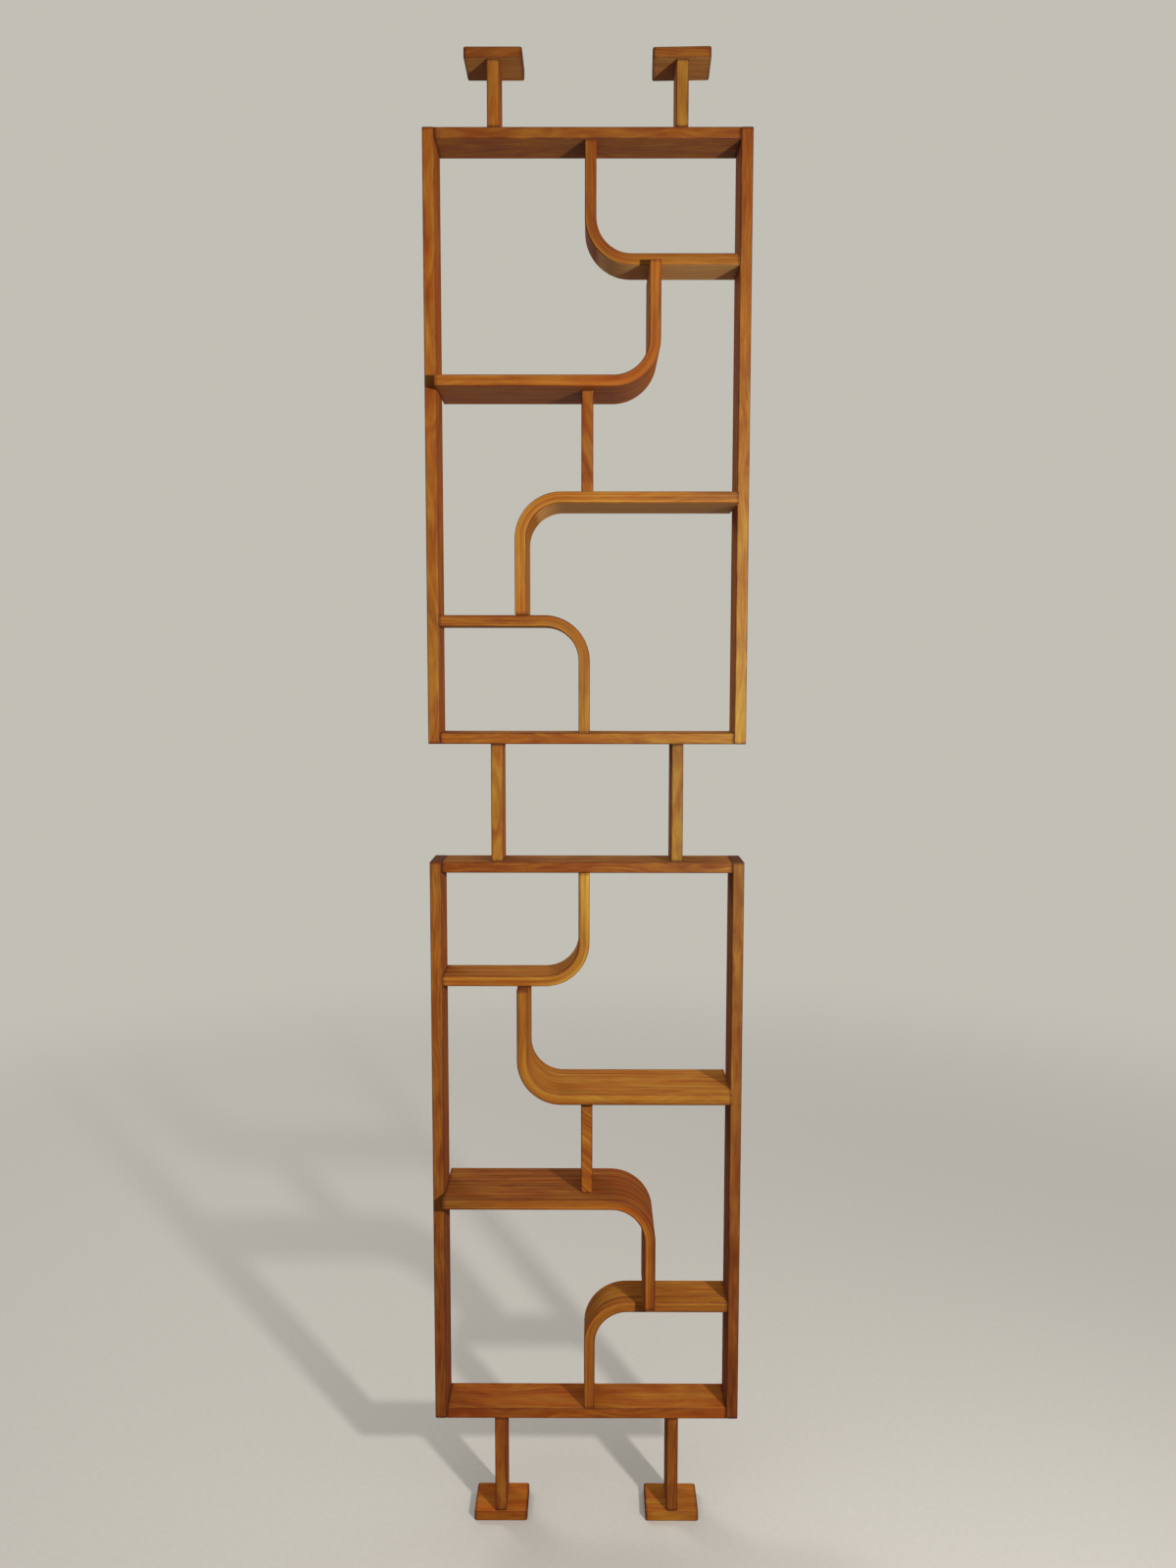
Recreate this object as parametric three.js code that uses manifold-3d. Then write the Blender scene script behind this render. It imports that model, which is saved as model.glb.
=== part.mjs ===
// A floor-to-ceiling room divider: two shelf units of bent laminated boards, one above the other,
// carried on posts. Foot plates stand on the floor, and ceiling plates screw up on threaded rods.
// Millimetres, +Z up, +X to the right, +Y to the back. The origin is on the floor, under the middle.
import * as THREE from "three";
import { mergeVertices } from "three/addons/utils/BufferGeometryUtils.js";
import Module from "manifold-3d";

const wasm = await Module();
wasm.setup();

// One shelf unit
const unitWidth = 540;
const unitHeight = 1005;
const frameDepth = 80;
const uprightThickness = 20;
const railThickness = 19;

// The bent boards: shelves 1 and 4 are as deep as the frame, shelves 2 and 3 stand proud of it
const deepShelfDepth = 138;
const bentThickness = 19;
const bendRadius = 58;
const outerShelfDrop = 198.5;
const outerLegOffset = 5;
const innerLegOffset = 110.5;
const strutThickness = 20;
const strutLength = 168;

// Posts and plates
const postThickness = 20;
const postDepth = 75;
const postOffset = 154;
const footPostHeight = 176;
const middlePostHeight = 202;
const ceilingPostHeight = 106;
const plateWidth = 95;
const plateDepth = 80;
const plateThickness = 18;
const plateCornerRadius = 4;

// The right ceiling plate has been turned a little out of line with the frame
const rightPlateTwist = THREE.MathUtils.degToRad(-2);

// Loose tongues in the butt joints, and the stub tenons of the posts
const tongueThickness = 6;
const tongueLength = 50;
const tongueReach = 9;
const tenonThickness = 9;
const tenonLength = 50;
const tenonReach = 12;

// The ceiling adjusters
const rodDiameter = 8;
const rodInPlate = 12;
const rodInPost = 70;
const rodChamfer = 1;
const bushDiameter = 12;
const bushLength = 25;
const bushFlangeDiameter = 16;
const bushFlangeThickness = 2;
const rodPocketSpare = 4;

// Eased edges and clearances
const arrisRadius = 2;
const endEasing = 1;
const glueLine = 0.2;
const fitClearance = 0.3;
const turningGap = 0.3;
const overrun = 5;

// Facets. An arc in a three.js shape is drawn with twice its steps.
const arcArrisSteps = 1;
const bevelSteps = 2;
const bendSteps = 7;
const keySteps = 1;
const cornerSteps = 2;
const roundSides = 20;

// Places worked out from the sizes. Inside a unit, Z is counted from its mid height.
const halfWidth = unitWidth / 2;
const halfHeight = unitHeight / 2;
const innerFaceX = halfWidth - uprightThickness;
const railZ = halfHeight - railThickness / 2;
const railUnderside = halfHeight - railThickness;
const halfBent = bentThickness / 2;
const outerShelfZ = halfHeight - outerShelfDrop - halfBent;
const innerShelfZ = strutLength / 2 + glueLine + halfBent;
const sideJointX = innerFaceX - glueLine / 2;

const footPostBottom = plateThickness + glueLine;
const lowerUnitBottom = footPostBottom + footPostHeight + glueLine;
const middlePostBottom = lowerUnitBottom + unitHeight + glueLine;
const upperUnitBottom = middlePostBottom + middlePostHeight + glueLine;
const ceilingPostBottom = upperUnitBottom + unitHeight + glueLine;
const ceilingPostTop = ceilingPostBottom + ceilingPostHeight;
const ceilingPlateBottom = ceilingPostTop + turningGap;

// Finishes
const stainedBeech = new THREE.MeshStandardMaterial({ color: 0xa86528, roughness: 0.42, metalness: 0 });
const bentBeech = new THREE.MeshStandardMaterial({ color: 0xb5732f, roughness: 0.4, metalness: 0 });
const plainBeech = new THREE.MeshStandardMaterial({ color: 0xd8b384, roughness: 0.7, metalness: 0 });
const zincSteel = new THREE.MeshStandardMaterial({ color: 0x9a9c9e, roughness: 0.35, metalness: 0.9 });

// Solids: a closed three.js geometry becomes one that can be cut, and comes back as a geometry
function solidFrom(geometry) {
  const bare = geometry.clone();
  bare.deleteAttribute("normal");
  bare.deleteAttribute("uv");
  const merged = mergeVertices(bare);
  return new wasm.Manifold(
    new wasm.Mesh({
      numProp: 3,
      vertProperties: new Float32Array(merged.attributes.position.array),
      triVerts: new Uint32Array(merged.index.array),
    }),
  );
}

function geometryFrom(solid) {
  const mesh = solid.getMesh();
  const geometry = new THREE.BufferGeometry();
  geometry.setAttribute("position", new THREE.BufferAttribute(mesh.vertProperties, 3));
  geometry.setIndex(new THREE.BufferAttribute(mesh.triVerts, 1));
  geometry.computeVertexNormals();
  return geometry;
}

function cut(geometry, cutters) {
  let solid = solidFrom(geometry);
  for (const cutter of cutters) {
    solid = solid.subtract(solidFrom(cutter));
  }
  return geometryFrom(solid);
}

function join(geometry, additions) {
  let solid = solidFrom(geometry);
  for (const addition of additions) {
    solid = solid.add(solidFrom(addition));
  }
  return geometryFrom(solid);
}

// A rectangle with round corners, centred on the origin
function roundedRectangle(width, depth, radius) {
  const x = width / 2 - radius;
  const y = depth / 2 - radius;
  const shape = new THREE.Shape();
  shape.absarc(x, y, radius, 0, Math.PI / 2, false);
  shape.absarc(-x, y, radius, Math.PI / 2, Math.PI, false);
  shape.absarc(-x, -y, radius, Math.PI, 1.5 * Math.PI, false);
  shape.absarc(x, -y, radius, 1.5 * Math.PI, 2 * Math.PI, false);
  return shape;
}

// A length of timber standing on z = 0, with its four long edges eased
function timber(thickness, depth, length) {
  return new THREE.ExtrudeGeometry(roundedRectangle(thickness, depth, arrisRadius), {
    depth: length,
    bevelEnabled: false,
    curveSegments: arcArrisSteps,
  });
}

// A flat key with round edges, standing on z = 0: `thickness` along X and `length` along Y
function key(thickness, length, height) {
  return new THREE.ExtrudeGeometry(roundedRectangle(thickness, length, thickness / 2), {
    depth: height,
    bevelEnabled: false,
    curveSegments: keySteps,
  });
}

// A loose tongue lies half in each of two pieces, and its slot is a clearance larger all round.
// Across a joint whose faces look along X it lies flat, and across one whose faces look along Z it stands.
function tongueAlongZ(clearance) {
  const reach = tongueReach + clearance;
  const thickness = tongueThickness + 2 * clearance;
  const length = tongueLength + 2 * clearance;
  return key(thickness, length, 2 * reach).translate(0, 0, -reach);
}

function tongueAlongX(clearance) {
  return tongueAlongZ(clearance).rotateY(Math.PI / 2);
}

function slotAlongZ(x, z) {
  return tongueAlongZ(fitClearance).translate(x, 0, z);
}

function slotAlongX(x, z) {
  return tongueAlongX(fitClearance).translate(x, 0, z);
}

// A post's stub tenon stands up from z = 0, and its mortise reaches down from z = 0
function stubTenon() {
  return key(tenonThickness, tenonLength, tenonReach + overrun).translate(0, 0, -overrun);
}

function mortise() {
  const depth = tenonReach + fitClearance;
  const thickness = tenonThickness + 2 * fitClearance;
  const length = tenonLength + 2 * fitClearance;
  return key(thickness, length, depth + overrun).translate(0, 0, -depth);
}

// A round hole that stays clear of a round piece of `diameter` inside it, facets and all
function boreRadius(diameter) {
  return (diameter / 2 + fitClearance) / Math.cos(Math.PI / roundSides);
}

// A turned piece from its profile of [radius, height] pairs, listed upwards and closed on itself or the axis
function turned(profile) {
  const points = profile.map(([radius, height]) => new THREE.Vector2(radius, height));
  return new THREE.LatheGeometry(points, roundSides).rotateX(Math.PI / 2);
}

function named(name, geometry, material) {
  const mesh = new THREE.Mesh(geometry, material);
  mesh.name = name;
  return mesh;
}

// Full-height upright on the right of a unit, slotted for the two rails and for the two shelves that
// end on it. Its two ends are eased.
function uprightGeometry() {
  const section = roundedRectangle(uprightThickness, frameDepth, arrisRadius);
  const post = new THREE.ExtrudeGeometry(section, {
    depth: unitHeight - 2 * endEasing,
    bevelThickness: endEasing,
    bevelSize: endEasing,
    bevelOffset: -endEasing,
    bevelSegments: 1,
    curveSegments: arcArrisSteps,
  }).translate(0, 0, endEasing - halfHeight);
  const slotX = -(uprightThickness + glueLine) / 2;
  const slotHeights = [railZ, outerShelfZ, -innerShelfZ, -railZ];
  return cut(
    post,
    slotHeights.map((z) => slotAlongX(slotX, z)),
  );
}

// Top rail of a unit, fitted between the uprights. Two mortises in its upper face take the posts.
function railGeometry() {
  const length = 2 * (innerFaceX - glueLine);
  const rail = timber(railThickness, frameDepth, length)
    .translate(0, 0, -length / 2)
    .rotateY(Math.PI / 2);
  return cut(rail, [
    slotAlongX(-sideJointX, 0),
    slotAlongX(sideJointX, 0),
    slotAlongZ(outerLegOffset, -(railThickness + glueLine) / 2),
    mortise().translate(-postOffset, 0, railThickness / 2),
    mortise().translate(postOffset, 0, railThickness / 2),
  ]);
}

// A bent board, with the crossing of its two centre lines at the origin: a shelf of length `across`
// along +X and a leg of length `rise` along +Z, with a slot in each end and one under the shelf.
function bentBoardGeometry(across, rise, depth, slotUnderShelf) {
  const bendCentre = bendRadius + halfBent;
  const outline = new THREE.Shape();
  outline.moveTo(-halfBent, rise + overrun);
  outline.absarc(bendCentre, bendCentre, bendRadius + bentThickness, Math.PI, 1.5 * Math.PI, false);
  outline.lineTo(across + overrun, -halfBent);
  outline.lineTo(across + overrun, halfBent);
  outline.absarc(bendCentre, bendCentre, bendRadius, 1.5 * Math.PI, Math.PI, true);
  outline.lineTo(halfBent, rise + overrun);
  outline.closePath();
  const board = new THREE.ExtrudeGeometry(outline, {
    depth: depth - 2 * arrisRadius,
    bevelThickness: arrisRadius,
    bevelSize: arrisRadius,
    bevelOffset: -arrisRadius,
    bevelSegments: bevelSteps,
    curveSegments: bendSteps,
  })
    .rotateX(Math.PI / 2)
    .translate(0, depth / 2 - arrisRadius, 0);
  const trimWidth = bentThickness + 2 * overrun;
  const beyondShelf = new THREE.BoxGeometry(2 * overrun, depth + overrun, trimWidth);
  const beyondLeg = new THREE.BoxGeometry(trimWidth, depth + overrun, 2 * overrun);
  return cut(board, [
    beyondShelf.translate(across + overrun, 0, 0),
    beyondLeg.translate(0, 0, rise + overrun),
    slotAlongX(across + glueLine / 2, 0),
    slotAlongZ(0, rise + glueLine / 2),
    slotAlongZ(slotUnderShelf, -(bentThickness + glueLine) / 2),
  ]);
}

function strutGeometry() {
  const strut = timber(strutThickness, frameDepth, strutLength).translate(0, 0, -strutLength / 2);
  const end = (strutLength + glueLine) / 2;
  return cut(strut, [slotAlongZ(0, end), slotAlongZ(0, -end)]);
}

// A post standing on z = 0, with a stub tenon on its foot and, if `bothEnds`, on its head too
function postGeometry(height, bothEnds) {
  const post = timber(postThickness, postDepth, height);
  const tenons = [stubTenon().rotateX(Math.PI)];
  if (bothEnds) {
    tenons.push(stubTenon().translate(0, 0, height));
  }
  return join(post, tenons);
}

// Half of a unit: top rail, right upright, shelves 1 and 2, and the tongues in their joints. Turned
// half a turn about Y, the same half makes the bottom rail, the left upright and shelves 4 and 3.
function halfUnit(names) {
  const half = new THREE.Group();
  const underOuterShelf = outerShelfZ - halfBent;

  const rail = named(names.rail, railGeometry(), stainedBeech);
  rail.position.z = railZ;

  const upright = named(names.upright, uprightGeometry(), stainedBeech);
  upright.position.x = halfWidth - uprightThickness / 2;

  const outerAcross = innerFaceX - glueLine - outerLegOffset;
  const outerRise = railUnderside - glueLine - outerShelfZ;
  const outerSlot = innerLegOffset - outerLegOffset;
  const outerShelf = named(
    names.outerShelf,
    bentBoardGeometry(outerAcross, outerRise, frameDepth, outerSlot),
    bentBeech,
  );
  outerShelf.position.set(outerLegOffset, 0, outerShelfZ);

  const innerAcross = innerFaceX - glueLine + innerLegOffset;
  const innerRise = underOuterShelf - glueLine - innerShelfZ;
  const innerShelf = named(
    names.innerShelf,
    bentBoardGeometry(innerAcross, innerRise, deepShelfDepth, innerLegOffset),
    bentBeech,
  );
  innerShelf.position.set(innerLegOffset, 0, innerShelfZ);
  innerShelf.rotation.z = Math.PI;
  half.add(rail, upright, outerShelf, innerShelf);

  const flat = tongueAlongX(0);
  const standing = tongueAlongZ(0);
  const tongues = [
    [`${names.rail}_near_tongue`, flat, sideJointX, railZ],
    [`${names.rail}_far_tongue`, flat, -sideJointX, railZ],
    [`${names.outerShelf}_side_tongue`, flat, sideJointX, outerShelfZ],
    [`${names.outerShelf}_leg_tongue`, standing, outerLegOffset, railUnderside - glueLine / 2],
    [`${names.innerShelf}_side_tongue`, flat, -sideJointX, innerShelfZ],
    [`${names.innerShelf}_leg_tongue`, standing, innerLegOffset, underOuterShelf - glueLine / 2],
    [names.strutTongue, standing, 0, innerShelfZ - halfBent - glueLine / 2],
  ];
  for (const [name, geometry, x, z] of tongues) {
    const tongue = named(name, geometry, plainBeech);
    tongue.position.set(x, 0, z);
    half.add(tongue);
  }
  return half;
}

function shelfUnit(prefix, topSide, bottomSide) {
  const unit = new THREE.Group();
  const topHalf = halfUnit({
    rail: `${prefix}_top_rail`,
    upright: `${prefix}_${topSide}_upright`,
    outerShelf: `${prefix}_shelf_1`,
    innerShelf: `${prefix}_shelf_2`,
    strutTongue: `${prefix}_strut_top_tongue`,
  });
  const bottomHalf = halfUnit({
    rail: `${prefix}_bottom_rail`,
    upright: `${prefix}_${bottomSide}_upright`,
    outerShelf: `${prefix}_shelf_4`,
    innerShelf: `${prefix}_shelf_3`,
    strutTongue: `${prefix}_strut_bottom_tongue`,
  });
  bottomHalf.rotation.y = Math.PI;
  const strut = named(`${prefix}_strut`, strutGeometry(), stainedBeech);
  unit.add(topHalf, bottomHalf, strut);
  return unit;
}

// A plate with round corners and eased edges, standing on z = 0
function plateGeometry() {
  return new THREE.ExtrudeGeometry(roundedRectangle(plateWidth, plateDepth, plateCornerRadius), {
    depth: plateThickness - 2 * arrisRadius,
    bevelThickness: arrisRadius,
    bevelSize: arrisRadius,
    bevelOffset: -arrisRadius,
    bevelSegments: bevelSteps,
    curveSegments: cornerSteps,
  }).translate(0, 0, arrisRadius);
}

// Ceiling adjuster, with z = 0 at the top of its post
function rodGeometry() {
  const radius = rodDiameter / 2;
  const top = rodInPlate;
  return turned([
    [0, -rodInPost],
    [radius - rodChamfer, -rodInPost],
    [radius, -rodInPost + rodChamfer],
    [radius, top - rodChamfer],
    [radius - rodChamfer, top],
    [0, top],
  ]);
}

function bushGeometry() {
  const bore = boreRadius(rodDiameter);
  const body = bushDiameter / 2;
  const flange = bushFlangeDiameter / 2;
  return turned([
    [bore, -bushLength],
    [body, -bushLength],
    [body, -bushFlangeThickness],
    [flange, -bushFlangeThickness],
    [flange, 0],
    [bore, 0],
    [bore, -bushLength],
  ]);
}

// The stepped hole down a ceiling post: a seat for the flange, one for the bush, and room for the rod
function adjusterHole() {
  const pocket = boreRadius(rodDiameter);
  const body = boreRadius(bushDiameter);
  const flange = boreRadius(bushFlangeDiameter);
  const pocketBottom = -(rodInPost + rodPocketSpare);
  const bodyBottom = -(bushLength + fitClearance);
  const flangeBottom = -(bushFlangeThickness + fitClearance);
  return turned([
    [0, pocketBottom],
    [pocket, pocketBottom],
    [pocket, bodyBottom],
    [body, bodyBottom],
    [body, flangeBottom],
    [flange, flangeBottom],
    [flange, overrun],
    [0, overrun],
  ]);
}

function ceilingPlateGeometry() {
  const socket = boreRadius(rodDiameter);
  const socketTop = rodInPlate - turningGap + fitClearance;
  const hole = turned([
    [0, -overrun],
    [socket, -overrun],
    [socket, socketTop],
    [0, socketTop],
  ]);
  return cut(plateGeometry(), [hole]);
}

const footPlateGeometry = cut(plateGeometry(), [mortise().translate(0, 0, plateThickness)]);
const footPostGeometry = postGeometry(footPostHeight, true);
const middlePostGeometry = postGeometry(middlePostHeight, true);
const ceilingPostGeometry = cut(postGeometry(ceilingPostHeight, false), [
  adjusterHole().translate(0, 0, ceilingPostHeight),
]);

const divider = new THREE.Group();

const upperUnit = shelfUnit("upper", "right", "left");
upperUnit.position.z = upperUnitBottom + halfHeight;
divider.add(upperUnit);

// The lower unit is the same piece of work turned back to front
const lowerUnit = shelfUnit("lower", "left", "right");
lowerUnit.position.z = lowerUnitBottom + halfHeight;
lowerUnit.rotation.z = Math.PI;
divider.add(lowerUnit);

for (const [side, x, twist] of [
  ["left", -postOffset, 0],
  ["right", postOffset, rightPlateTwist],
]) {
  const column = new THREE.Group();
  column.position.x = x;

  const footPlate = named(`${side}_foot_plate`, footPlateGeometry, stainedBeech);
  const footPost = named(`${side}_foot_post`, footPostGeometry, stainedBeech);
  footPost.position.z = footPostBottom;
  const middlePost = named(`${side}_middle_post`, middlePostGeometry, stainedBeech);
  middlePost.position.z = middlePostBottom;
  const ceilingPost = named(`${side}_ceiling_post`, ceilingPostGeometry, stainedBeech);
  ceilingPost.position.z = ceilingPostBottom;

  const bush = named(`${side}_threaded_bush`, bushGeometry(), zincSteel);
  bush.position.z = ceilingPostTop;
  const rod = named(`${side}_threaded_rod`, rodGeometry(), zincSteel);
  rod.position.z = ceilingPostTop;
  const ceilingPlate = named(`${side}_ceiling_plate`, ceilingPlateGeometry(), stainedBeech);
  ceilingPlate.position.z = ceilingPlateBottom;
  ceilingPlate.rotation.z = twist;

  column.add(footPlate, footPost, middlePost, ceilingPost, bush, rod, ceilingPlate);
  divider.add(column);
}

export default divider;
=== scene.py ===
# %% [markdown]
# # A room divider of bent beech boards
# The divider stands between floor and ceiling. Two shelf units stand one above the other, with
# short posts below, between and above them. Inside each unit four boards are bent from thin sheets
# of beech, so that one board is a shelf and a leg at once. This lesson loads the measured model and
# dresses it: the bent boards and the screw threads are made again with smooth surfaces, and every
# other piece keeps its measured shape and gets a finish.

# %% Load the measured model
import math

import bpy
from mathutils import Matrix, Vector


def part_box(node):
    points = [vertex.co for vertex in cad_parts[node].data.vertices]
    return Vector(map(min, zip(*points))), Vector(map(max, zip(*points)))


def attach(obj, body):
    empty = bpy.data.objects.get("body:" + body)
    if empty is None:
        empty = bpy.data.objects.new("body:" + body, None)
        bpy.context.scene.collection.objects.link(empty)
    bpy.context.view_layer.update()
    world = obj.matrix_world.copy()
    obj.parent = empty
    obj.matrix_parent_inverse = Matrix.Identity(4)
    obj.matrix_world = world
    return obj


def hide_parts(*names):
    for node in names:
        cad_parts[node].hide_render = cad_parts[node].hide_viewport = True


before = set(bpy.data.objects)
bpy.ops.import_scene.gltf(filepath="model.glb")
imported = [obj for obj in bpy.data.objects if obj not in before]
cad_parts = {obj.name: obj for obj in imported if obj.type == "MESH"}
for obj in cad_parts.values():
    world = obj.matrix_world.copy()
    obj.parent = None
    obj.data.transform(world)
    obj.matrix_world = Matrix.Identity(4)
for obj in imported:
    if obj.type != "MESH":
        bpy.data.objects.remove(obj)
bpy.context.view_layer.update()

# %% [markdown]
# ## The camera
# A tall, narrow thing photographed from close by shows strong perspective: we look up at the top
# unit and down on the bottom one. The place, the tilt and the lens were found by matching the
# corners of the model to the corners in the picture, which is 1200 by 1600 pixels.

# %% Camera
picture_height = 1600
focal_pixels = 1253.7
sensor_mm = 36.0
camera_place = Vector((0.0077, -2.1249, 1.5236))
tilt_down = math.radians(5.199)
turn_right = math.radians(-0.167)
lean = math.radians(0.058)

forward = Vector((
    math.sin(turn_right) * math.cos(tilt_down),
    math.cos(turn_right) * math.cos(tilt_down),
    -math.sin(tilt_down),
))
level_right = Vector((math.cos(turn_right), -math.sin(turn_right), 0.0))
level_up = level_right.cross(forward)
camera_right = level_right * math.cos(lean) + level_up * math.sin(lean)
camera_up = camera_right.cross(forward)


def new_object(name, data):
    """An object with this data, in the scene and at the origin."""
    made = bpy.data.objects.new(name, data)
    bpy.context.scene.collection.objects.link(made)
    return made


lens = bpy.data.cameras.new("camera")
lens.sensor_width = sensor_mm
lens.lens = focal_pixels / picture_height * sensor_mm
camera = new_object("camera", lens)
camera.matrix_world = Matrix.Translation(camera_place) @ Matrix(
    (camera_right, camera_up, -forward)
).transposed().to_4x4()
bpy.context.scene.camera = camera
print("lens in mm:", round(lens.lens, 2))

# %% [markdown]
# ## Helpers for node trees
# Shaders and Geometry Nodes are both graphs. Small helpers keep the graphs readable. One adds a
# node, one puts a number or a link into a socket, and the others each do one sum with numbers or
# with vectors.

# %% Helpers for sums
def add(tree, kind, **settings):
    node = tree.nodes.new(kind)
    for key, value in settings.items():
        setattr(node, key, value)
    return node


def feed(tree, socket, value):
    if isinstance(value, bpy.types.NodeSocket):
        tree.links.new(value, socket)
    else:
        socket.default_value = value


def calc(tree, operation, *values, clamp=False):
    node = add(tree, "ShaderNodeMath", operation=operation, use_clamp=clamp)
    for socket, value in zip(node.inputs, values):
        feed(tree, socket, value)
    return node.outputs[0]


def nudge(tree, base, amount, weight):
    """The base, plus the amount times the weight."""
    return calc(tree, "MULTIPLY_ADD", amount, weight, base)


def aim(tree, operation, *values):
    node = add(tree, "ShaderNodeVectorMath", operation=operation)
    for socket, value in zip(node.inputs, values):
        feed(tree, socket, value)
    return node.outputs["Vector"]


def length(tree, vector):
    node = add(tree, "ShaderNodeVectorMath", operation="LENGTH")
    feed(tree, node.inputs[0], vector)
    return node.outputs["Value"]


def split(tree, vector):
    node = add(tree, "ShaderNodeSeparateXYZ")
    feed(tree, node.inputs[0], vector)
    return node.outputs[0], node.outputs[1], node.outputs[2]


def merge(tree, x, y, z):
    node = add(tree, "ShaderNodeCombineXYZ")
    for socket, value in zip(node.inputs, (x, y, z)):
        feed(tree, socket, value)
    return node.outputs[0]


sums = (add, feed, calc, nudge, aim, length, split, merge)
print("helpers:", ", ".join(helper.__name__ for helper in sums))

# %% [markdown]
# ## Helpers for patterns
# A finish is made of soft steps, noises and mixed colours. A noise is stretched by giving its scale
# as three numbers. The last two helpers start a group or a tree with named inputs, and a material.

# %% Helpers for patterns
NUMBER, VECTOR, COLOUR = "NodeSocketFloat", "NodeSocketVector", "NodeSocketColor"


def ramp(tree, value, low, high, to_low=0.0, to_high=1.0):
    node = add(tree, "ShaderNodeMapRange", interpolation_type="SMOOTHSTEP")
    for socket, number in zip(node.inputs, (value, low, high, to_low, to_high)):
        feed(tree, socket, number)
    return node.outputs[0]


def noise(tree, vector, scale, detail=2.0, roughness=0.5, output="Fac"):
    if isinstance(scale, tuple):
        vector, scale = aim(tree, "MULTIPLY", vector, scale), 1.0
    node = add(tree, "ShaderNodeTexNoise")
    feed(tree, node.inputs["Vector"], vector)
    feed(tree, node.inputs["Scale"], scale)
    feed(tree, node.inputs["Detail"], detail)
    feed(tree, node.inputs["Roughness"], roughness)
    return node.outputs[output]


def mix(tree, factor, first, second, **settings):
    node = add(tree, "ShaderNodeMix", data_type="RGBA", **settings)
    for label, value in (("Factor", factor), ("A", first), ("B", second)):
        feed(tree, node.inputs[label], value)
    return node.outputs["Result"]


def coordinate(tree, label):
    return add(tree, "ShaderNodeTexCoord").outputs[label]


def new_tree(name, kind, inputs, outputs):
    tree = bpy.data.node_groups.new(name, kind)
    for way, sockets in (("INPUT", inputs), ("OUTPUT", outputs)):
        for label, socket_kind, *value in sockets:
            socket = tree.interface.new_socket(label, in_out=way, socket_type=socket_kind)
            if value:
                socket.default_value = value[0]
    start = add(tree, "NodeGroupInput")
    end = add(tree, "NodeGroupOutput")
    return tree, start.outputs, end.inputs


def new_paint(name):
    paint = bpy.data.materials.new(name)
    paint.use_nodes = True
    return paint, paint.node_tree, paint.node_tree.nodes["Principled BSDF"]


patterns = (ramp, noise, mix, coordinate, new_tree, new_paint)
print("helpers:", ", ".join(helper.__name__ for helper in patterns))

# %% [markdown]
# ## The floor
# The floor is plain and pale, and it melts into the background a few metres out. It throws back
# less light than it shows, so that the undersides stay as dark as in the picture.

# %% Floor
floor_half = 6.0
floor_height = 0.0005
fade_start, fade_end = 1.2, 4.2
pale, paler = (0.58, 0.565, 0.53, 1), (0.64, 0.625, 0.59, 1)
thrown_shade = (0.16, 0.15, 0.14, 1)

floor_mesh = bpy.data.meshes.new("floor")
floor_mesh.from_pydata(
    [
        (x * floor_half, y * floor_half, floor_height)
        for x, y in ((-1, -1), (1, -1), (1, 1), (-1, 1))
    ],
    [],
    [(0, 1, 2, 3)],
)
floor = new_object("floor", floor_mesh)

floor_paint, tree, skin = new_paint("floor_paint")
place = coordinate(tree, "Object")
shown_shade = mix(tree, noise(tree, place, 90.0, 3.0), pale, paler)
lights_others = add(tree, "ShaderNodeLightPath").outputs["Is Diffuse Ray"]
feed(tree, skin.inputs["Base Color"], mix(tree, lights_others, shown_shade, thrown_shade))
feed(tree, skin.inputs["Alpha"], ramp(tree, length(tree, place), fade_start, fade_end, 1.0, 0.0))
skin.inputs["Roughness"].default_value = 0.75
floor_mesh.materials.append(floor_paint)
print("floor:", 2 * floor_half, "m wide, gone", fade_end, "m from the middle")

# %% [markdown]
# ## Background and lamps
# The light in the picture comes from the right of the camera, from about eye height. That is why
# the undersides of the upper shelves catch some light, why faces that look left are dark, and why
# pieces that stand proud throw a shadow to their left. One small lamp stands there. A broad one,
# high behind the divider and at its left, lights the back. A weak sky, brighter above than at the
# sides, does the rest. The camera and the mirror image in the varnish don't see this sky but a
# plain background.

# %% Background and lamps
background_shade = (0.54, 0.52, 0.465, 1)
sky_tint = (1.0, 0.98, 0.94, 1)
lamp_tint = (1.0, 0.96, 0.89)
light_from_above = 0.75
light_from_sides = 0.10
sky_start, sky_full = 0.15, 0.95

world = bpy.data.worlds.new("studio")
world.use_nodes = True
bpy.context.scene.world = world
tree = world.node_tree
tree.nodes.clear()
rays = add(tree, "ShaderNodeLightPath")
seen = calc(tree, "MAXIMUM", rays.outputs["Is Camera Ray"], rays.outputs["Is Glossy Ray"])
seen = calc(tree, "MAXIMUM", seen, rays.outputs["Is Transmission Ray"])
shown = add(tree, "ShaderNodeBackground")
shown.inputs["Color"].default_value = background_shade
lighting = add(tree, "ShaderNodeBackground")
lighting.inputs["Color"].default_value = sky_tint
_, _, upward = split(tree, coordinate(tree, "Generated"))
strength = ramp(tree, upward, sky_start, sky_full, light_from_sides, light_from_above)
feed(tree, lighting.inputs["Strength"], strength)
choice = add(tree, "ShaderNodeMixShader")
for socket, value in zip(choice.inputs, (seen, lighting.outputs[0], shown.outputs[0])):
    feed(tree, socket, value)
feed(tree, add(tree, "ShaderNodeOutputWorld").inputs["Surface"], choice.outputs[0])


def lamp(name, place, target, size, power):
    light = bpy.data.lights.new(name, "AREA")
    light.shape = "DISK"
    light.size = size
    light.energy = power
    light.color = lamp_tint
    holder = new_object(name, light)
    holder.location = place
    holder.rotation_euler = (Vector(target) - Vector(place)).to_track_quat("-Z", "Y").to_euler()
    holder.visible_camera = False


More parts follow.
